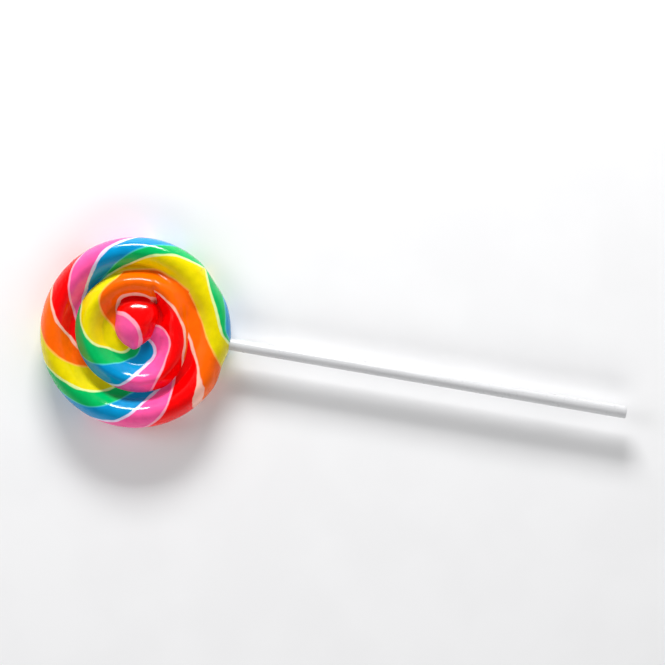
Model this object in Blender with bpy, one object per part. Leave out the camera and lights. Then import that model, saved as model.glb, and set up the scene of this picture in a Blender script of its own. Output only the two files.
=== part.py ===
"""Swirl lollipop: a coiled sweet rope pressed into one disc, on a straight stick. It lies shown side up."""

import math

import bmesh
import bpy
import numpy as np
from mathutils import Matrix

MM = 0.001

# The whole lies on the floor, midway over the origin. The stick leaves the disc along +X.
# Points and lengths below are measured from the place on the floor under the disc's centre.
DISC_RADIUS = 25.0 * MM
THICKNESS = 9.6 * MM
MIDDLE = THICKNESS / 2
TOP_GROOVE = 1.2 * MM  # the upper grooves' height above the middle plane
SHALLOW_GROOVE = 2.6 * MM  # the upper groove's height where the coil starts and its tail ends
TAIL_TURN = 50  # where the upper groove is shallowest, in degrees
TAIL_REACH = 60
PRESSED_GROOVE = 3.2 * MM  # the upper groove's height over the stick, where it was pressed harder
PRESSED_TURN = 0
PRESSED_REACH = 50
PIT = 0.9 * MM  # extra depth of the upper groove on one side of the knob
PIT_TURN = -32
PIT_REACH = 45
UNDER_GROOVE = 3.5 * MM  # the lower grooves' depth below the middle plane, on the pressed underside
LAND = 0.5  # share of a ring's width that lies flat on the floor

# The coil is a knob, one ring round it and an outer ring. Angles are in degrees, anticlockwise from the
# stick, seen from above. STEP is the angle between spokes.
KNOB_OFFSET = 1.7 * MM  # from the disc's centre to the knob's, along +Y
KNOB_FLAT = 0.6  # share of the knob's underside that lies flat on the floor
RING_CREST = 3.0 * MM  # from the inner ring's ridge to its outer side
OUTER_CREST = 3.7 * MM  # from the outer ring's ridge to the rim
FLANK = 4.2 * MM  # the widest that a ridge's inner flank gets: a level valley fills the rest
STEP = 4

# The grooves round the knob and round the ring next to it. Each point is the angle, and the distance from
# the disc's centre as a share of its radius.
KNOB_PATH = [
    (10, 0.185), (28, 0.215), (39, 0.275), (50, 0.33), (63, 0.37), (80, 0.36), (120, 0.35), (135, 0.325),
    (147, 0.275), (158, 0.24), (193, 0.20), (218, 0.175), (250, 0.165), (275, 0.18), (290, 0.165),
    (305, 0.142), (330, 0.145), (350, 0.165),
]
GROOVE_PATH = [
    (2, 0.555), (26, 0.566), (40, 0.625), (59, 0.66), (75, 0.655), (97, 0.65), (160, 0.645), (220, 0.61),
    (250, 0.60), (310, 0.645), (340, 0.59),
]

# The crease where the rope leaves the knob. It fades out a third of the way across the ring.
CREASE_PATH = [(63, 0.37), (75, 0.48), (90, 0.63)]
CREASE_TURN = 67
CREASE_REACH = 15
CREASE_DEPTH = 1.6 * MM
CREASE_WIDTH = 2.4 * MM

# The disc was pressed by hand: its rim is a little flat beside the tail and beside the stick. Each flat is
# its depth as a share of the disc's radius, its angle and its reach in degrees.
RIM_FLATS = [(0.02, 42, 16), (0.03, -11, 14)]

STICK_RADIUS = 1.6 * MM
STICK_START = 9.0 * MM
STICK_END = 130.0 * MM
STICK_SIDE = 1.2 * MM  # the stick runs this far to one side of the disc's centre
STICK_HEIGHT = MIDDLE + 0.2 * MM
STICK_CHAMFER = 0.25 * MM
BORE_GAP = 0.3 * MM

DISC_X = (DISC_RADIUS - STICK_END) / 2

KNOB_RINGS = [0.3, 0.6, 0.8, 0.92, 1.0]
ACROSS = [-0.88, -0.65, -0.4, -0.1, 0.2, 0.5, 0.75, 0.92, 1.0]  # points across a ring, after its inner side


def smooth(share):
    share = min(max(share, 0.0), 1.0)
    return share * share * (3 - 2 * share)


def hill(turn, peak, width):
    """A smooth bump round one direction, 1 at its peak and 0 beyond its width in degrees."""
    away = abs((turn - peak + 180) % 360 - 180)
    return smooth(1 - away / width)


def rim_radius(turn):
    return DISC_RADIUS * (1 - sum(depth * hill(turn, peak, reach) for depth, peak, reach in RIM_FLATS))


def along(path, turn):
    """Distance of a groove from the disc's centre, averaged over a short arc so that it bends smoothly."""
    turns, shares = zip(*path)
    nearby = turn + np.linspace(-3, 3, 9)
    return DISC_RADIUS * float(np.interp(nearby, turns, shares, period=360).mean())


def flank(past, edge):
    """Height down one side of a ridge, from its top at 0 to its foot at 1."""
    return MIDDLE - (MIDDLE - edge) * (1 - math.cos(min(max(past, 0.0), 1.0) * math.pi / 2))


def cut_ellipse(past, edge):
    """Height of an ellipse that is cut off at the height of its edge, from its top at 0 to its edge at 1."""
    cut = 1 - (edge / MIDDLE) ** 2
    return MIDDLE * math.sqrt(max(0.0, 1 - cut * past * past))


def crease(turn, radius):
    turns, shares = zip(*CREASE_PATH)
    away = abs(radius - DISC_RADIUS * float(np.interp(turn, turns, shares)))
    return CREASE_DEPTH * smooth(1 - away / CREASE_WIDTH) * hill(turn, CREASE_TURN, CREASE_REACH)


class Surface:
    """The upper or lower surface of the disc, on spokes from the knob's middle to the rim."""

    def __init__(self, points, upper):
        self.points = points
        self.upper = upper
        self.faces = []

    def point(self, x, y, height):
        self.points.append((x, y, MIDDLE + height if self.upper else MIDDLE - height))
        return len(self.points) - 1

    def knob_level(self, turn):
        return TOP_GROOVE - PIT * hill(turn, PIT_TURN, PIT_REACH) if self.upper else UNDER_GROOVE

    def groove_level(self, turn):
        if not self.upper:
            return UNDER_GROOVE
        level = TOP_GROOVE + (SHALLOW_GROOVE - TOP_GROOVE) * hill(turn, TAIL_TURN, TAIL_REACH)
        return level + (PRESSED_GROOVE - level) * hill(turn, PRESSED_TURN, PRESSED_REACH)

    def ring_height(self, radius, inner, outer, inner_level, outer_level):
        """Height across a ring whose two sides are at these levels. The underside is flat in the middle."""
        if not self.upper:
            share = 2 * (radius - inner) / (outer - inner) - 1
            past = max(0.0, (abs(share) - LAND) / (1 - LAND))
            return cut_ellipse(past, inner_level if share < 0 else outer_level)
        crest = outer - (RING_CREST if outer_level > 0 else OUTER_CREST)
        if radius < crest:
            return flank((crest - radius) / min(crest - inner, FLANK), inner_level)
        past = (radius - crest) / (outer - crest)
        return flank(past, outer_level) if outer_level > 0 else cut_ellipse(past, 0.0)

    def knob(self, turn):
        """Points from beside the knob's middle to its edge."""
        edge, angle = along(KNOB_PATH, turn), math.radians(turn)
        flat = 0.0 if self.upper else KNOB_FLAT
        found = []
        for share in KNOB_RINGS:
            height = cut_ellipse(max(0.0, (share - flat) / (1 - flat)), self.knob_level(turn))
            x = share * edge * math.cos(angle)
            y = KNOB_OFFSET + share * (edge * math.sin(angle) - KNOB_OFFSET)
            found.append(self.point(x, y, height))
        return found

    def ring(self, turn, inner, outer, inner_level, outer_level):
        """Points across a ring, from beside its inner side to its outer side."""
        angle = math.radians(turn)
        found = []
        for share in ACROSS:
            radius = inner + (outer - inner) * (share + 1) / 2
            height = self.ring_height(radius, inner, outer, inner_level, outer_level)
            if self.upper:
                height -= crease(turn, radius)
            found.append(self.point(radius * math.cos(angle), radius * math.sin(angle), height))
        return found

    def spokes(self, rim):
        """All the points, by spoke, and the faces between spokes. Both surfaces end on the same rim points."""
        middle = self.point(0.0, KNOB_OFFSET, MIDDLE)
        found = []
        for k, turn in enumerate(range(0, 360, STEP)):
            knob, groove = along(KNOB_PATH, turn), along(GROOVE_PATH, turn)
            level = self.groove_level(turn)
            spoke = [middle] + self.knob(turn) + self.ring(turn, knob, groove, self.knob_level(turn), level)
            found.append(spoke + self.ring(turn, groove, rim_radius(turn), level, 0.0)[:-1] + [rim[k]])
        for spoke, after in zip(found, found[1:] + found[:1]):
            for j in range(len(spoke) - 1):
                corners = list(dict.fromkeys([spoke[j], spoke[j + 1], after[j + 1], after[j]]))
                self.faces.append(corners if self.upper else corners[::-1])


def make_object(name, mesh, colour, roughness):
    mesh.shade_smooth()
    mesh.set_sharp_from_angle(angle=math.radians(35))
    material = bpy.data.materials.new(name)
    material.use_nodes = True
    shader = material.node_tree.nodes["Principled BSDF"]
    shader.inputs["Base Color"].default_value = (*colour, 1)
    shader.inputs["Roughness"].default_value = roughness
    mesh.materials.append(material)
    obj = bpy.data.objects.new(name, mesh)
    obj.parent = bpy.data.objects["disc_centre"]
    bpy.context.scene.collection.objects.link(obj)
    return obj


def rod(name, radius, start, end):
    """A round bar along +X on the stick's axis."""
    mesh = bpy.data.meshes.new(name)
    work = bmesh.new()
    along_x = Matrix.Rotation(math.radians(90), 4, "Y")
    bmesh.ops.create_cone(
        work, cap_ends=True, segments=32, radius1=radius, radius2=radius, depth=end - start, matrix=along_x
    )
    work.to_mesh(mesh)
    work.free()
    obj = make_object(name, mesh, (0.85, 0.85, 0.86), 0.35)
    obj.location = ((start + end) / 2, STICK_SIDE, STICK_HEIGHT)
    return obj


def make_candy():
    points = []
    rim = []
    for turn in range(0, 360, STEP):
        angle, radius = math.radians(turn), rim_radius(turn)
        points.append((radius * math.cos(angle), radius * math.sin(angle), MIDDLE))
        rim.append(len(points) - 1)
    top, under = Surface(points, True), Surface(points, False)
    top.spokes(rim)
    under.spokes(rim)
    mesh = bpy.data.meshes.new("candy")
    mesh.from_pydata(points, [], top.faces + under.faces)
    candy = make_object("candy", mesh, (0.85, 0.03, 0.02), 0.1)
    bore = rod("bore", STICK_RADIUS + BORE_GAP, STICK_START - BORE_GAP, DISC_RADIUS + 5 * MM)
    bore.hide_render = True
    bore.display_type = "WIRE"
    cut = candy.modifiers.new("bore", "BOOLEAN")
    cut.operation = "DIFFERENCE"
    cut.solver = "EXACT"
    cut.object = bore


def make_stick():
    stick = rod("stick", STICK_RADIUS, STICK_START, STICK_END)
    chamfer = stick.modifiers.new("chamfer", "BEVEL")
    chamfer.width = STICK_CHAMFER
    chamfer.segments = 1
    chamfer.limit_method = "ANGLE"
    chamfer.angle_limit = math.radians(60)


for old in list(bpy.data.objects):
    bpy.data.objects.remove(old)
centre = bpy.data.objects.new("disc_centre", None)
centre.location = (DISC_X, 0, 0)
bpy.context.scene.collection.objects.link(centre)
make_candy()
make_stick()
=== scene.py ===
"""Looks of the swirl lollipop: a coiled rope of twisted coloured stripes, its stick, and a pale studio."""

import math

import bmesh
import bpy
import numpy as np
from mathutils import Matrix, Vector


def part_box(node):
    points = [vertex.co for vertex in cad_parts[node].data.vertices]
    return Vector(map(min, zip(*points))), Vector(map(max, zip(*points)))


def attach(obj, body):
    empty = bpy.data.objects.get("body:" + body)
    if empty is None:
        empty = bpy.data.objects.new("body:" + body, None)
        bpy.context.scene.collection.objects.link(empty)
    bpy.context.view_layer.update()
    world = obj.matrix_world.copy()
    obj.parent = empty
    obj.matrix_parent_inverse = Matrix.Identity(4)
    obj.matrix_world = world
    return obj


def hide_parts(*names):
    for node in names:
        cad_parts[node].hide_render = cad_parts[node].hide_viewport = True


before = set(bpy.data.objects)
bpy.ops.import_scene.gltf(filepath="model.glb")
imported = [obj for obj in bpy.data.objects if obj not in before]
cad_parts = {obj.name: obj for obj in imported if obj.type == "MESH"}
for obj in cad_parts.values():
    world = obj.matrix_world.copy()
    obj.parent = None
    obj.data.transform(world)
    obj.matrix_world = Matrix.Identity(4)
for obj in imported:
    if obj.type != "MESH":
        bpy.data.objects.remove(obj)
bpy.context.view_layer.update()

MM = 0.001

# The disc and the stick, as the CAD has them. Angles are in degrees, anticlockwise from the stick, seen from
# above. A TURN is the direction where something is strongest, and a REACH is how far it fades to each side.
DISC_LOW, DISC_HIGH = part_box("candy")
STICK_LOW, STICK_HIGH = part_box("stick")
DISC_RADIUS = 25.0 * MM
DISC_X = DISC_LOW.x + (DISC_HIGH.y - DISC_LOW.y) / 2
MIDDLE = (DISC_LOW.z + DISC_HIGH.z) / 2  # the height of the disc's middle plane
STICK_RADIUS = (STICK_HIGH.z - STICK_LOW.z) / 2
STICK_SIDE = (STICK_LOW.y + STICK_HIGH.y) / 2
STICK_HEIGHT = (STICK_LOW.z + STICK_HIGH.z) / 2
RIM_FLATS = [(0.02, 42, 16), (0.03, -11, 14)]  # each flat's depth as a share of the radius, turn and reach
TOP_GROOVE = 1.2 * MM  # the upper grooves' height above the middle plane
SHALLOW_GROOVE = 2.6 * MM  # the same, where the coil starts and its tail ends
TAIL_TURN, TAIL_REACH = 50, 60
PRESSED_GROOVE = 3.2 * MM  # the same, over the stick
PRESSED_TURN, PRESSED_REACH = 0, 50
PIT = 0.9 * MM  # extra depth of the groove on one side of the knob
PIT_TURN, PIT_REACH = -32, 45
UNDER_GROOVE = 3.5 * MM  # the lower grooves' depth below the middle plane
LAND = 0.5  # share of a lower ring's width that is flat
KNOB_OFFSET = 1.7 * MM  # from the disc's centre to the knob's, along +Y
KNOB_FLAT = 0.6  # share of the knob's underside that is flat
RING_CREST = 3.0 * MM  # from the inner ring's ridge to its outer side
OUTER_CREST = 3.7 * MM  # from the outer ring's ridge to the rim
FLANK = 4.2 * MM  # the widest that a ridge's inner flank gets
CREASE_TURN, CREASE_REACH = 67, 15
CREASE_DEPTH = 1.6 * MM
CREASE_WIDTH = 2.4 * MM

# The upper groove between the rings is rounded off over BLUR to each side, and TAIL_BLUR more at the tail.
BLUR = 0.2 * MM
TAIL_BLUR = 0.9 * MM
BLUR_TURN, BLUR_REACH = 55, 50
BLURRED = 2 * MM  # how near to the groove the rounding acts

# The rope in degrees run: it leaves the knob at START, reaches the rim at RIM_START and ends at LAST.
START = 63
RIM_START = 413
LAST = RIM_START + 360

# Columns of faces across the rope's top and its underside, and rings of faces on the knob.
ROPE_COLUMNS = 40
UNDER_COLUMNS = 24
KNOB_COLUMNS = 16
COLUMN_SPREAD = 0.86  # 0 spaces the columns evenly, and 1 packs them closest at the rope's two sides

# The knob's edge, the groove between the two rings, and the seams where the rope starts and where its tail
# ends, as (degrees, share of the disc's radius). The tail's seam changes only the stripes.
KNOB_PATH = [
    (10, 0.185), (28, 0.215), (39, 0.275), (50, 0.33), (START, 0.37), (80, 0.36), (120, 0.35), (135, 0.325),
    (147, 0.275), (158, 0.24), (193, 0.20), (218, 0.175), (250, 0.165), (275, 0.18), (290, 0.165),
    (305, 0.142), (330, 0.145), (350, 0.165),
]
GROOVE_PATH = [
    (2, 0.555), (26, 0.566), (40, 0.625), (59, 0.66), (75, 0.655), (97, 0.65), (160, 0.645), (220, 0.61),
    (250, 0.60), (310, 0.645), (340, 0.59),
]
START_SEAM = [(START, 0.37), (75, 0.48), (90, 0.63), (97, 0.65)]
TAIL_SEAM = [(400, 0.625), (408, 0.71), (RIM_START, 1.0)]

# Each pale line on the rope's upper side, from the rope's outer side to its inner side, as points of (degrees
# run, share of the disc's radius). The last two end at the rim instead. The stripe after line i has colour i
# of COLOURS, counted round.
LINES = [
    [(40, 0.38), (62, 0.374), (74, 0.392), (87, 0.398), (120, 0.398), (129, 0.37), (135, 0.325)],
    [(111, 0.65), (115, 0.605), (125, 0.58), (135, 0.556), (144, 0.523), (151, 0.473), (159, 0.398),
     (165, 0.326), (171, 0.245), (183, 0.21)],
    [(160, 0.645), (164, 0.621), (174, 0.592), (187, 0.535), (195, 0.502), (207, 0.427), (218, 0.325),
     (233, 0.281), (246, 0.25), (256, 0.205), (261, 0.165)],
    [(205, 0.62), (209, 0.615), (215, 0.60), (223, 0.565), (232, 0.491), (244, 0.391), (256, 0.341),
     (266, 0.285), (280, 0.25), (292, 0.20), (300, 0.148)],
    [(252, 0.60), (260, 0.59), (266, 0.56), (274, 0.49), (277, 0.466), (286, 0.40), (301, 0.342),
     (313, 0.327), (325, 0.289), (336, 0.225), (342, 0.155)],
    [(294, 0.633), (300, 0.582), (310, 0.514), (321, 0.454), (333, 0.413), (346, 0.396), (359, 0.369),
     (372, 0.318), (385, 0.262), (391, 0.22)],
    [(336, 0.60), (343, 0.556), (353, 0.546), (366, 0.519), (372, 0.521), (385, 0.493), (401, 0.48),
     (417, 0.467), (428, 0.474), (435, 0.485)],
    [(408, 0.71), (413, 0.70), (420, 0.70), (429, 0.69), (438, 0.699), (452, 0.667), (465, 0.655),
     (478, 0.649)],
    [(413, 0.985), (417, 0.964), (424, 0.938), (432, 0.915), (442, 0.848), (453, 0.78), (462, 0.72),
     (475, 0.685), (490, 0.648)],
    [(433, 1.0), (439, 0.975), (447, 0.932), (454, 0.892), (461, 0.855), (465, 0.80), (476, 0.745),
     (482, 0.70), (494, 0.648)],
    [(457, 1.0), (467, 0.968), (474, 0.938), (480, 0.907), (486, 0.85), (492, 0.793), (500, 0.735),
     (508, 0.685), (518, 0.646)],
    [(489, 1.0), (497, 0.974), (504, 0.934), (510, 0.877), (516, 0.816), (523, 0.748), (530, 0.682),
     (536, 0.643)],
    [(518, 1.0), (526, 0.958), (532, 0.90), (540, 0.832), (546, 0.765), (551, 0.70), (561, 0.636)],
    [(543, 1.0), (555, 0.947), (561, 0.903), (567, 0.834), (573, 0.769), (579, 0.702), (585, 0.62)],
    [(567, 1.0), (573, 0.968), (580, 0.922), (586, 0.878), (594, 0.828), (602, 0.773), (609, 0.713),
     (619, 0.60)],
    [(585, 1.0), (589, 0.986), (601, 0.947), (608, 0.909), (615, 0.854), (620, 0.793), (625, 0.731),
     (630, 0.68), (638, 0.62)],
    [(610, 1.0), (619, 0.982), (625, 0.964), (631, 0.92), (636, 0.854), (641, 0.796), (644, 0.762),
     (650, 0.70), (661, 0.64)],
    [(644, 1.0), (651, 0.972), (656, 0.924), (661, 0.878), (664, 0.824), (667, 0.777), (671, 0.728),
     (676, 0.672), (680, 0.636)],
    [(681, 1.0), (686, 0.91), (691, 0.845), (697, 0.787), (704, 0.721), (711, 0.647), (720, 0.588),
     (727, 0.555)],
    [(707, 0.98), (710, 0.93), (716, 0.843), (722, 0.779), (729, 0.73), (735, 0.719), (747, 0.69),
     (757, 0.691), (765, 0.70), (768, 0.71)],
    [(722, 1.0), (725, 0.94), (731, 0.892), (739, 0.882), (746, 0.877), (756, 0.886), (765, 0.93),
     (771, 0.98)],
    [(724, 1.0), (727, 0.95), (731, 0.937), (736, 0.947), (743, 0.97), (750, 0.984), (757, 0.993)],
]

# Rows across the rope, one a degree, and closer together at the stick and where the tail ends. PER_TURN of
# them go once round.
ONCE_ROUND = np.concatenate([
    np.arange(START, 358.0), np.arange(358, 374, 0.25), np.arange(374.0, 400), np.arange(400, 414, 0.2),
    np.arange(414.0, START + 360),
])
PER_TURN = len(ONCE_ROUND)
ROWS = np.concatenate([ONCE_ROUND, ONCE_ROUND + 360])
ROWS = ROWS[ROWS < LAST + 0.1]

RUN_ON = 40  # degrees that each line is carried on by past its two ends
LEAST_SLOPE = 0.005  # share of the radius that it crosses there in a degree, at least
TO_RIM = 0.8  # a line whose last point is beyond this share of the radius runs out to the rim
LINE_BLUR = 5  # degrees to each side that a line is averaged over
THINNEST = 0.3 * MM  # the rope is taken as no thinner than this
FAR = 4.0  # the farthest that a line is kept from the rope's middle, in half widths
LINE_ORDER = 1e-4  # added from each line to the next, in half widths, to keep lines that meet in order
PAST_LINES = 3  # the width taken for the stripes before the first line and after the last, in half widths
UNDER_SPREAD = 62  # degrees that a stripe runs back by as it crosses the underside
UNDER_BEND = 0.8  # from 0 to 1: how much faster it does so at the rope's two sides

# The line before each colour, in the order of COLOURS: its sRGB colour, half its width, and its strength. The
# line beside the knob is wider, and the broad one widens to a patch at the rim.
LINE_LOOKS = [
    ((255, 196, 178), 0.34 * MM, 0.95),
    ((255, 196, 84), 0.24 * MM, 0.75),
    ((222, 240, 168), 0.30 * MM, 0.90),
    ((84, 208, 204), 0.20 * MM, 0.60),
    ((226, 214, 240), 0.42 * MM, 0.95),
    ((255, 168, 190), 0.28 * MM, 0.92),
]
FIRST_LINE = 0.55 * MM
BROAD_LINE = 18
BROAD_EXTRA = 1.3 * MM
LINE_WAVER = 0.5 * MM  # how far the lines stray, from one side to the other
LINE_EDGE = (-0.16 * MM, 0.12 * MM)  # where a line starts and is at full strength, inwards from its side

# The knob is pink inside this circle, measured from the disc's centre, and red outside it. A pale line runs
# round the circle. KNOB_STRIPE is the width of a stripe there, which is more than the whole knob.
LOBE_CENTRE = np.array([-4.9, -2.3]) * MM
LOBE_RADIUS = 6.7 * MM
LOBE_LINE = 0.45 * MM
KNOB_STRIPE = 20 * MM

# sRGB colours of the stripes: orange, yellow, green, blue, pink and red.
COLOURS = [(255, 102, 0), (230, 212, 0), (0, 180, 92), (0, 142, 198), (250, 86, 158), (254, 1, 3)]
COUNT = len(COLOURS)
RED = 5  # its place in COLOURS

# The square map that the colours are baked on has the top in one corner and the underside in the other, each
# given as its middle and its radius. The steep rim is spread outwards there, from RIM_FROM of the radius.
TOP_ON_MAP = (0.392, 0.388)
UNDER_ON_MAP = (0.805, 0.19)
MAP_MARGIN = 3 * MM
RIM_FROM = 0.82
RIM_SPREAD = 0.11


def linear(colour):
    """An sRGB colour from 0 to 255, as linear RGBA."""
    shares = [c / 255 for c in colour]
    return (*[s / 12.92 if s <= 0.04045 else ((s + 0.055) / 1.055) ** 2.4 for s in shares], 1.0)


def smooth(share):
    share = np.clip(share, 0.0, 1.0)
    return share * share * (3 - 2 * share)


def hill(turn, peak, width):
    """A smooth bump round one direction, 1 at its peak and 0 beyond its width in degrees."""
    away = np.abs((turn - peak + 180) % 360 - 180)
    return smooth(1 - away / width)


def along(path, turn, period=None):
    """Distance of a groove from the disc's centre, averaged over a short arc so that it bends smoothly."""
    turns, shares = zip(*path)
    nearby = [np.interp(turn + away, turns, shares, period=period) for away in np.linspace(-3, 3, 9)]
    return DISC_RADIUS * np.mean(nearby, axis=0)


def rim_radius(turn):
    return DISC_RADIUS * (1 - sum(depth * hill(turn, peak, reach) for depth, peak, reach in RIM_FLATS))


def flat_section(share, outer):
    """Height across a ring of the underside, which was pressed flat: a land with rounded edges."""
    past = np.clip((np.abs(share) - LAND) / (1 - LAND), 0.0, 1.0)
    cut = 1 - (np.where(share < 0, UNDER_GROOVE, outer) / MIDDLE) ** 2
    return MIDDLE * np.sqrt(np.clip(1 - cut * past * past, 0.0, 1.0))


def ridge(radius, crest, inner, outer_side, inner_level, outer_level):
    """Height across a ring of the top: a ridge with a flank on each side. Beside the rim it is an ellipse."""
    down = np.clip((crest - radius) / np.minimum(crest - inner, FLANK), 0.0, 1.0)
    up = np.clip((radius - crest) / (outer_side - crest), 0.0, 1.0)
    inside = MIDDLE - (MIDDLE - inner_level) * (1 - np.cos(down * math.pi / 2))
    outside = MIDDLE - (MIDDLE - outer_level) * (1 - np.cos(up * math.pi / 2))
    rim = MIDDLE * np.sqrt(1 - up * up)
    return np.where(radius < crest, inside, np.where(outer_level > 0, outside, rim))


def seam_radius(turn):
    """Where each turn of the rope meets the next one: the two seams, and the groove between them."""
    groove = along(GROOVE_PATH, turn, period=360)
    start, tail = along(START_SEAM, turn), along(TAIL_SEAM, turn)
    return np.where(turn < START_SEAM[-1][0], start, np.where(turn > TAIL_SEAM[0][0], tail, groove))


def knob_level(turn):
    """Height of the groove round the knob, which is deepest at a pit on one side."""
    return TOP_GROOVE - PIT * hill(turn, PIT_TURN, PIT_REACH)


def under_height(radius, turn):
    """Depth below the disc's middle plane of the underside's two rings."""
    knob, groove = along(KNOB_PATH, turn, period=360), along(GROOVE_PATH, turn, period=360)
    ring = flat_section(2 * (radius - knob) / (groove - knob) - 1, UNDER_GROOVE)
    outer = flat_section(2 * (radius - groove) / (rim_radius(turn) - groove) - 1, 0.0)
    return np.where(radius < groove, ring, outer)


def top_height(radius, turn):
    """Height above the disc's middle plane of the top's two rings, with a crease where the rope starts."""
    knob, groove = along(KNOB_PATH, turn, period=360), along(GROOVE_PATH, turn, period=360)
    rim = rim_radius(turn)
    level = TOP_GROOVE + (SHALLOW_GROOVE - TOP_GROOVE) * hill(turn, TAIL_TURN, TAIL_REACH)
    level = level + (PRESSED_GROOVE - level) * hill(turn, PRESSED_TURN, PRESSED_REACH)
    near_knob = knob_level(turn)
    blur = BLUR + TAIL_BLUR * hill(turn, BLUR_TURN, BLUR_REACH)
    heights = []
    for away in np.linspace(-1, 1, 5):
        at = radius + away * blur
        ring = ridge(at, groove - RING_CREST, knob, groove, near_knob, level)
        outer = ridge(np.minimum(at, rim), rim - OUTER_CREST, groove, rim, level, 0.0)
        heights.append(np.where(at < groove, ring, outer))
    near_groove = np.abs(radius - groove) < BLURRED
    height = np.where(near_groove, np.mean(heights, axis=0), heights[2])
    seam = seam_radius(START + (turn - START) % 360)
    crease = (1 - smooth(np.abs(radius - seam) / CREASE_WIDTH)) * (radius < groove)
    return height - CREASE_DEPTH * crease * hill(turn, CREASE_TURN, CREASE_REACH)


class Rope:
    """The rope's upper or lower surface. Arrays are rows along it by columns across it."""

    def __init__(self, columns, height):
        self.turns = ROWS
        end = COLUMN_SPREAD * math.pi / 2
        self.shares = np.sin(np.linspace(-end, end, columns + 1)) / math.sin(end)
        knob = along(KNOB_PATH, ONCE_ROUND, period=360)
        outer = np.where(self.turns >= RIM_START, rim_radius(self.turns), seam_radius(self.turns))
        outer[0] = knob[0]
        self.inner = np.concatenate([knob, outer[: len(ROWS) - PER_TURN]])
        self.outer = np.maximum(outer, self.inner)
        width = self.outer - self.inner
        self.radii = self.inner[:, None] + width[:, None] * (self.shares[None, :] + 1) / 2
        self.heights = height(self.radii, self.turns[:, None])


def line_shares(rope):
    """Where each line is across the rope at each row, from 1 at the outer side to -1 at the inner side."""
    found = []
    width = np.maximum(rope.outer - rope.inner, THINNEST)
    for line in LINES:
        turns, radii = (np.array(column, float) for column in zip(*line))
        slopes = np.diff(radii) / np.diff(turns)
        to_rim = radii[-1] > TO_RIM
        last = max(slopes[-1], LEAST_SLOPE) if to_rim else min(slopes[-1], -LEAST_SLOPE)
        before = radii[0] - RUN_ON * min(slopes[0], -LEAST_SLOPE)
        turns = [turns[0] - RUN_ON, *turns, turns[-1] + RUN_ON]
        radii = [before, *radii, radii[-1] + RUN_ON * last]
        nearby = rope.turns + np.linspace(-LINE_BLUR, LINE_BLUR, 9)[:, None]
        radius = np.interp(nearby, turns, radii).mean(axis=0) * DISC_RADIUS
        share = 2 * (radius - rope.inner) / width - 1
        found.append(np.clip(share, -FAR, FAR))
    return np.array(found)


def rope_phase(rope):
    """The stripe that each point is on, as a number that grows by 1 from one line to the next."""
    lines = line_shares(rope)
    phase = np.empty_like(rope.radii)
    for row in range(len(rope.turns)):
        places = np.maximum.accumulate(lines[:, row] + np.arange(len(LINES)) * LINE_ORDER)
        places = [places[0] - PAST_LINES, *places, places[-1] + PAST_LINES]
        phase[row] = np.interp(rope.shares, places, np.arange(-1, len(LINES) + 1))
    return phase


def under_phase(rope, top_edge):
    """The stripes carry on round the rim to the underside and run back the other way across it."""
    first, last = math.acos(UNDER_BEND), math.acos(-UNDER_BEND)
    around = (np.arccos(UNDER_BEND * rope.shares) - first) / (last - first)
    return np.interp(rope.turns[:, None] + UNDER_SPREAD * around[None, :], rope.turns, top_edge)


def stripe_size(places, phase):
    """Width of a stripe at each point: the distance over which the phase grows by 1."""
    down, across = np.gradient(places, axis=0), np.gradient(places, axis=1)
    phase_down, phase_across = np.gradient(phase, axis=0), np.gradient(phase, axis=1)
    dd, aa, da = (down * down).sum(-1), (across * across).sum(-1), (down * across).sum(-1)
    area = np.maximum(dd * aa - da * da, 1e-18)
    slope = (phase_down**2 * aa - 2 * phase_down * phase_across * da + phase_across**2 * dd) / area
    return 1 / np.sqrt(np.maximum(slope, 1.0))


def line_width(rope, phase):
    """Half the width of the nearest pale line. The broad one widens across most of the rope's outer half."""
    line = np.rint(phase).astype(int)
    width = np.array([look[1] for look in LINE_LOOKS])[line % COUNT]
    shares = np.broadcast_to(rope.shares[None, :], phase.shape)
    width = np.where(line == 0, FIRST_LINE, width)
    return np.where(line == BROAD_LINE, width + BROAD_EXTRA * smooth((shares - 0.05) / 0.7), width)


class Shell:
    """Points, faces, and what each face corner carries: stripe, its size, line width and place on the map."""

    def __init__(self):
        self.points = []
        self.faces = []
        self.corners = []

    def point(self, x, y, height):
        self.points.append((x, y, height))
        return len(self.points) - 1

    def face(self, corners, upper):
        """One face from (point, values) corners, turned outwards, with repeated points left out."""
        kept = list({corner[0]: corner for corner in corners}.values())
        if len(kept) < 3:
            return
        kept = kept if upper else kept[::-1]
        self.faces.append([corner[0] for corner in kept])
        self.corners.extend(corner[1] for corner in kept)


def map_place(x, y, reach, upper):
    """Place on the baked map of a point this far from the disc's centre."""
    middle, radius = TOP_ON_MAP if upper else UNDER_ON_MAP
    scale = radius / (DISC_RADIUS + MAP_MARGIN) * reach
    return middle + x * scale, middle + y * scale


def knob_values(x, y, upper):
    """Stripe values on the knob: pink inside the lobe's circle and red outside it."""
    past = math.hypot(x - LOBE_CENTRE[0], y - LOBE_CENTRE[1]) - LOBE_RADIUS
    return (RED + past / KNOB_STRIPE, KNOB_STRIPE, LOBE_LINE, *map_place(x, y, 1.0, upper))


def dome(share, edge, flat):
    """Height of the knob, from its middle at share 0 to its edge at share 1."""
    past = max(0.0, (share - flat) / (1 - flat))
    return MIDDLE * math.sqrt(1 - (1 - (edge / MIDDLE) ** 2) * past * past)


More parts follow.
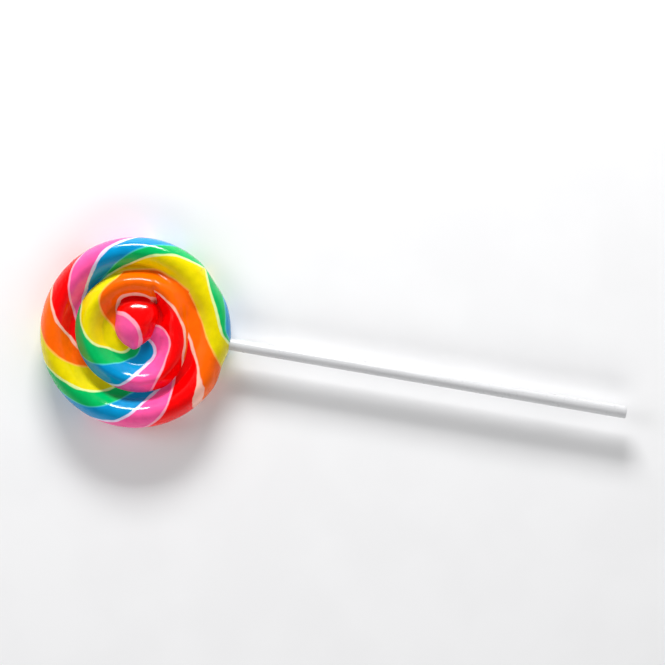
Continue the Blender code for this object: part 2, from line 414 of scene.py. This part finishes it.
def add_knob(shell, side):
    """Rings of points from the knob's middle to its edge, which is returned."""
    edge = along(KNOB_PATH, ONCE_ROUND, period=360)
    angles = np.radians(ONCE_ROUND)
    middle = shell.point(0.0, KNOB_OFFSET, MIDDLE + side * MIDDLE)
    ring = [(middle, knob_values(0.0, KNOB_OFFSET, side > 0))] * PER_TURN
    levels = knob_level(ONCE_ROUND) if side > 0 else np.full(PER_TURN, UNDER_GROOVE)
    for share in np.sin(np.linspace(0, 90, KNOB_COLUMNS + 1)[1:] * math.pi / 180):
        wider = []
        for k in range(PER_TURN):
            height = dome(share, levels[k], 0.0 if side > 0 else KNOB_FLAT)
            x = float(share * edge[k] * math.cos(angles[k]))
            y = float(KNOB_OFFSET + share * (edge[k] * math.sin(angles[k]) - KNOB_OFFSET))
            wider.append((shell.point(x, y, MIDDLE + side * height), knob_values(x, y, side > 0)))
        for k in range(PER_TURN):
            after = (k + 1) % PER_TURN
            shell.face([ring[k], wider[k], wider[after], ring[after]], side > 0)
        ring = wider
    return [corner[0] for corner in ring]


def add_rope(shell, side, columns, knob_edge, rim):
    """The rope's rows. Each starts on the groove that the turn before it left. Both sides share the rim."""
    rope = Rope(columns, top_height if side > 0 else under_height)
    angles = np.radians(rope.turns)[:, None]
    xs, ys = rope.radii * np.cos(angles), rope.radii * np.sin(angles)
    phase = rope_phase(rope)
    if side < 0:
        phase = under_phase(rope, phase[:, -1])
    size = stripe_size(np.stack([xs, ys, rope.heights], axis=-1), phase)
    width = line_width(rope, phase)
    ids = np.empty(rope.radii.shape, int)
    last = len(ROWS) - 1
    for k in range(last + 1):
        start = knob_edge[k] if k < PER_TURN else ids[k - PER_TURN][-1]
        ids[k, 0] = start
        if k in (0, last):
            ids[k] = start
            continue
        for j in range(1, columns + 1):
            on_rim = j == columns and k >= last - PER_TURN
            if on_rim and k in rim:
                ids[k, j] = rim[k]
                continue
            height = 0.0 if on_rim else rope.heights[k, j]
            ids[k, j] = shell.point(float(xs[k, j]), float(ys[k, j]), MIDDLE + side * float(height))
            if on_rim:
                rim[k] = ids[k, j]

    def corner(k, j):
        reach = 1 + RIM_SPREAD * smooth((rope.radii[k, j] / DISC_RADIUS - RIM_FROM) / (1 - RIM_FROM))
        place = map_place(xs[k, j], ys[k, j], reach, side > 0)
        return int(ids[k, j]), (phase[k, j], size[k, j], width[k, j], *place)

    for k in range(last):
        for j in range(columns):
            corners = [corner(k, j), corner(k, j + 1), corner(k + 1, j + 1), corner(k + 1, j)]
            shell.face(corners, side > 0)


def link(obj):
    bpy.context.scene.collection.objects.link(obj)
    return obj


def make_candy():
    """The coil, with its stripes carried on its face corners."""
    shell = Shell()
    rim = {}
    add_rope(shell, 1, ROPE_COLUMNS, add_knob(shell, 1), rim)
    add_rope(shell, -1, UNDER_COLUMNS, add_knob(shell, -1), rim)
    mesh = bpy.data.meshes.new("candy_coil")
    mesh.from_pydata([(DISC_X + x, y, z) for x, y, z in shell.points], [], shell.faces)
    values = np.array(shell.corners, np.float32)
    for column, name in enumerate(("stripe", "stripe_size", "line_width")):
        attribute = mesh.attributes.new(name, "FLOAT", "CORNER")
        attribute.data.foreach_set("value", values[:, column].copy())
    uv_map = mesh.uv_layers.new(name="OFBake")
    uv_map.data.foreach_set("uv", values[:, 3:5].copy().ravel())
    mesh.shade_smooth()
    mesh.materials.append(candy_material())
    candy = link(bpy.data.objects.new("candy_coil", mesh))
    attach(candy, "root")
    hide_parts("candy")


class Nodes:
    """A short way to write a material's nodes."""

    def __init__(self, name):
        self.material = bpy.data.materials.new(name)
        self.material.use_nodes = True
        self.tree = self.material.node_tree
        self.shader = self.tree.nodes["Principled BSDF"]

    def add(self, kind, inputs=None, **settings):
        node = self.tree.nodes.new(kind)
        for name, value in settings.items():
            setattr(node, name, value)
        for name, value in (inputs or {}).items():
            self.put(node.inputs[name], value)
        return node

    def put(self, socket, value):
        if isinstance(value, bpy.types.NodeSocket):
            self.tree.links.new(value, socket)
        else:
            socket.default_value = value

    def maths(self, operation, *values):
        node = self.add("ShaderNodeMath", operation=operation)
        for socket, value in zip(node.inputs, values):
            self.put(socket, value)
        return node.outputs[0]

    def value(self, name):
        return self.add("ShaderNodeAttribute", attribute_name=name).outputs["Fac"]

    def noise(self, scale, detail=2.0):
        place = self.add("ShaderNodeTexCoord").outputs["Object"]
        inputs = {"Vector": place, "Scale": scale, "Detail": detail}
        return self.add("ShaderNodeTexNoise", inputs).outputs["Fac"]

    def ramp(self, fac, stops, interpolation="LINEAR"):
        node = self.add("ShaderNodeValToRGB", {"Fac": fac})
        node.color_ramp.interpolation = interpolation
        elements = node.color_ramp.elements
        while len(elements) < len(stops):
            elements.new(1.0)
        for element, (position, colour) in zip(elements, stops):
            element.position = position
            element.color = colour
        return node.outputs["Color"]

    def mix(self, fac, first, second, blend="MIX"):
        node = self.add("ShaderNodeMix", data_type="RGBA", blend_type=blend)
        self.put(node.inputs[0], fac)
        self.put(node.inputs[6], first)
        self.put(node.inputs[7], second)
        return node.outputs[2]

    def between(self, value, low, high, start=0.0, end=1.0):
        """The value's place from low to high, eased, as a number from start to end."""
        inputs = {"Value": value, "From Min": low, "From Max": high, "To Min": start, "To Max": end}
        node = self.add("ShaderNodeMapRange", inputs, interpolation_type="SMOOTHSTEP")
        return node.outputs["Result"]


def candy_material():
    """Boiled sugar: six colours with thin pale lines between them, glossy and a little uneven."""
    n = Nodes("candy_stripes")
    size = n.value("stripe_size")
    waver = n.maths("MULTIPLY", n.maths("SUBTRACT", n.noise(160.0, 1.0), 0.5), LINE_WAVER)
    stripe = n.maths("ADD", n.value("stripe"), n.maths("DIVIDE", waver, size))
    turn = n.maths("FRACT", n.maths("DIVIDE", n.maths("ADD", stripe, COUNT), COUNT))
    stops = [(i / COUNT, linear(colour)) for i, colour in enumerate(COLOURS)]
    colour = n.ramp(turn, stops, "CONSTANT")

    line_turn = n.maths("FRACT", n.maths("DIVIDE", n.maths("ADD", stripe, COUNT + 0.5), COUNT))
    line_stops = [(i / COUNT, linear(look[0])) for i, look in enumerate(LINE_LOOKS)]
    line_colour = n.ramp(line_turn, line_stops, "CONSTANT")
    strength_stops = [(i / COUNT, (look[2], look[2], look[2], 1.0)) for i, look in enumerate(LINE_LOOKS)]
    strength = n.ramp(line_turn, strength_stops, "CONSTANT")

    past_line = n.maths("SUBTRACT", n.maths("FRACT", n.maths("ADD", stripe, COUNT + 0.5)), 0.5)
    distance = n.maths("MULTIPLY", n.maths("ABSOLUTE", past_line), size)
    unevenness = n.between(n.noise(300.0), 0.3, 0.7, 0.75, 1.25)
    half_width = n.maths("MULTIPLY", n.value("line_width"), unevenness)
    pale = n.between(n.maths("SUBTRACT", half_width, distance), *LINE_EDGE)
    colour = n.mix(n.maths("MULTIPLY", pale, strength), colour, line_colour)

    mottle = n.between(n.noise(500.0, 4.0), 0.3, 0.7, 0.90, 1.0)
    grey = n.add("ShaderNodeCombineColor", {"Red": mottle, "Green": mottle, "Blue": mottle})
    colour = n.mix(1.0, colour, grey.outputs["Color"], "MULTIPLY")

    n.put(n.shader.inputs["Base Color"], colour)
    n.put(n.shader.inputs["Roughness"], n.between(n.noise(500.0, 3.0), 0.3, 0.7, 0.10, 0.17))
    n.put(n.shader.inputs["IOR"], 1.5)
    n.put(n.shader.inputs["Specular IOR Level"], 0.4)
    n.put(n.shader.inputs["Subsurface Weight"], 0.1)
    n.put(n.shader.inputs["Subsurface Radius"], (1.0, 0.5, 0.4))
    n.put(n.shader.inputs["Subsurface Scale"], 1.5 * MM)
    waves = n.maths("ADD", n.maths("MULTIPLY", n.noise(300.0, 2.0), 0.4), n.maths("MULTIPLY", pale, 0.12))
    bump = n.add("ShaderNodeBump", {"Height": waves, "Strength": 0.35, "Distance": 0.2 * MM})
    n.put(n.shader.inputs["Normal"], bump.outputs["Normal"])
    return n.material


def stick_material():
    """White moulded plastic with a satin skin and faint streaks along its length."""
    n = Nodes("stick_plastic")
    place = n.add("ShaderNodeTexCoord").outputs["Object"]
    stretched = n.add("ShaderNodeMapping", {"Vector": place, "Scale": (60.0, 900.0, 900.0)})
    inputs = {"Vector": stretched.outputs["Vector"], "Scale": 1.0, "Detail": 3.0}
    streaks = n.add("ShaderNodeTexNoise", inputs).outputs["Fac"]
    white = n.ramp(streaks, [(0.3, linear((198, 198, 200))), (0.7, linear((208, 208, 210)))])
    n.put(n.shader.inputs["Base Color"], white)
    n.put(n.shader.inputs["Roughness"], n.between(n.noise(900.0, 3.0), 0.3, 0.7, 0.26, 0.4))
    n.put(n.shader.inputs["Subsurface Weight"], 0.1)
    n.put(n.shader.inputs["Subsurface Radius"], (1.0, 1.0, 1.0))
    n.put(n.shader.inputs["Subsurface Scale"], 1.0 * MM)
    bump = n.add("ShaderNodeBump", {"Height": streaks, "Strength": 0.2, "Distance": 0.05 * MM})
    n.put(n.shader.inputs["Normal"], bump.outputs["Normal"])
    return n.material


def make_stick():
    """A round rod with softened ends, a little way into the candy."""
    start, end = STICK_LOW.x, STICK_HIGH.x
    mesh = bpy.data.meshes.new("stick_rod")
    work = bmesh.new()
    middle = Matrix.Translation(((start + end) / 2, STICK_SIDE, STICK_HEIGHT))
    bmesh.ops.create_cone(
        work, cap_ends=True, segments=64, radius1=STICK_RADIUS, radius2=STICK_RADIUS, depth=end - start,
        matrix=middle @ Matrix.Rotation(math.pi / 2, 4, "Y"),
    )
    ends = [edge for edge in work.edges if abs(edge.verts[0].co.x - edge.verts[1].co.x) < 0.1 * MM]
    bmesh.ops.bevel(work, geom=ends, offset=0.3 * MM, segments=4, profile=0.5, affect="EDGES")
    work.to_mesh(mesh)
    work.free()
    mesh.shade_smooth()
    mesh.set_sharp_from_angle(angle=math.radians(40))
    mesh.materials.append(stick_material())
    stick = link(bpy.data.objects.new("stick_rod", mesh))
    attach(stick, "root")
    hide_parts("stick")


# The picture's right and up directions. The stick points right and a little down in the picture.
TILT = math.radians(9.8)
RIGHT = Vector((math.cos(TILT), math.sin(TILT), 0))
UP = Vector((-math.sin(TILT), math.cos(TILT), 0))
DISC = Vector((DISC_X, 0, MIDDLE))
VIEW_OFFSET = 51.5 * MM  # from the disc's centre to the picture's, to the right
VIEW_WIDTH = 174 * MM
VIEW_DISTANCE = 0.7
FLOOR_REACH = 2.0

# The studio's glow, from its strength at the horizon to its strength at GLOW_HEIGHT of the way up and above.
GLOW_LOW = 0.55
GLOW_HIGH = 0.10
GLOW_HEIGHT = 0.6


def make_floor():
    """A sheet of pale paper, far wider than the picture."""
    mesh = bpy.data.meshes.new("floor")
    reach = FLOOR_REACH
    corners = [(-reach, -reach, 0), (reach, -reach, 0), (reach, reach, 0), (-reach, reach, 0)]
    mesh.from_pydata(corners, [], [(0, 1, 2, 3)])
    n = Nodes("floor_paper")
    grain = n.ramp(n.noise(40.0), [(0.4, linear((238, 238, 239))), (0.6, linear((240, 240, 241)))])
    n.put(n.shader.inputs["Base Color"], grain)
    n.put(n.shader.inputs["Roughness"], 0.7)
    n.put(n.shader.inputs["Specular IOR Level"], 0.2)
    mesh.materials.append(n.material)
    floor = link(bpy.data.objects.new("floor", mesh))
    floor.location.z = -0.05 * MM


def lamp(name, right, up, elevation, distance, size, level, shines):
    """A soft lamp towards that side of the picture. Level is the light it gives a white surface facing up."""
    angle = math.radians(elevation)
    towards = (RIGHT * right + UP * up).normalized() * math.cos(angle) + Vector((0, 0, math.sin(angle)))
    light = bpy.data.lights.new(name, "AREA")
    light.shape = "RECTANGLE"
    light.size, light.size_y = size
    light.energy = level * math.pi**2 * distance**2 / math.sin(angle)
    obj = link(bpy.data.objects.new(name, light))
    obj.location = DISC + towards * distance
    obj.rotation_euler = towards.to_track_quat("Z", "Y").to_euler()
    obj.visible_glossy = shines


def make_lights():
    """A key lamp at the picture's top, the only lamp that shows in the gloss, three weak ones and a glow."""
    lamp("key", 0.0, 1.0, 24, 0.6, (0.30, 0.12), 0.56, True)
    lamp("front", 0.0, -1.0, 30, 1.0, (0.9, 0.4), 0.20, False)
    lamp("left", -1.0, 0.3, 35, 1.0, (0.5, 0.5), 0.17, False)
    lamp("right", 1.0, 0.1, 40, 1.0, (0.7, 0.7), 0.12, False)
    world = bpy.data.worlds.new("studio")
    world.use_nodes = True
    tree = world.node_tree
    place = tree.nodes.new("ShaderNodeTexCoord")
    axes = tree.nodes.new("ShaderNodeSeparateXYZ")
    tree.links.new(place.outputs["Generated"], axes.inputs["Vector"])
    height = tree.nodes.new("ShaderNodeMapRange")
    height.inputs["From Max"].default_value = GLOW_HEIGHT
    height.inputs["To Min"].default_value = GLOW_LOW
    height.inputs["To Max"].default_value = GLOW_HIGH
    tree.links.new(axes.outputs["Z"], height.inputs["Value"])
    light_path = tree.nodes.new("ShaderNodeLightPath")
    strength = tree.nodes.new("ShaderNodeMath")
    strength.operation = "MAXIMUM"
    tree.links.new(height.outputs["Result"], strength.inputs[0])
    tree.links.new(light_path.outputs["Is Camera Ray"], strength.inputs[1])
    background = tree.nodes["Background"]
    background.inputs["Color"].default_value = (1, 1, 1, 1)
    tree.links.new(strength.outputs[0], background.inputs["Strength"])
    bpy.context.scene.world = world


def make_camera():
    """Straight above, with the whole lollipop across the picture."""
    camera = bpy.data.cameras.new("camera")
    camera.lens = camera.sensor_width * VIEW_DISTANCE / VIEW_WIDTH
    obj = link(bpy.data.objects.new("camera", camera))
    obj.matrix_world = Matrix((
        (RIGHT.x, UP.x, 0, 0), (RIGHT.y, UP.y, 0, 0), (0, 0, 1, 0), (0, 0, 0, 1),
    ))
    obj.location = DISC + RIGHT * VIEW_OFFSET + Vector((0, 0, VIEW_DISTANCE))
    bpy.context.scene.camera = obj


make_candy()
make_stick()
make_floor()
make_lights()
make_camera()
bpy.context.scene.view_settings.view_transform = "Standard"
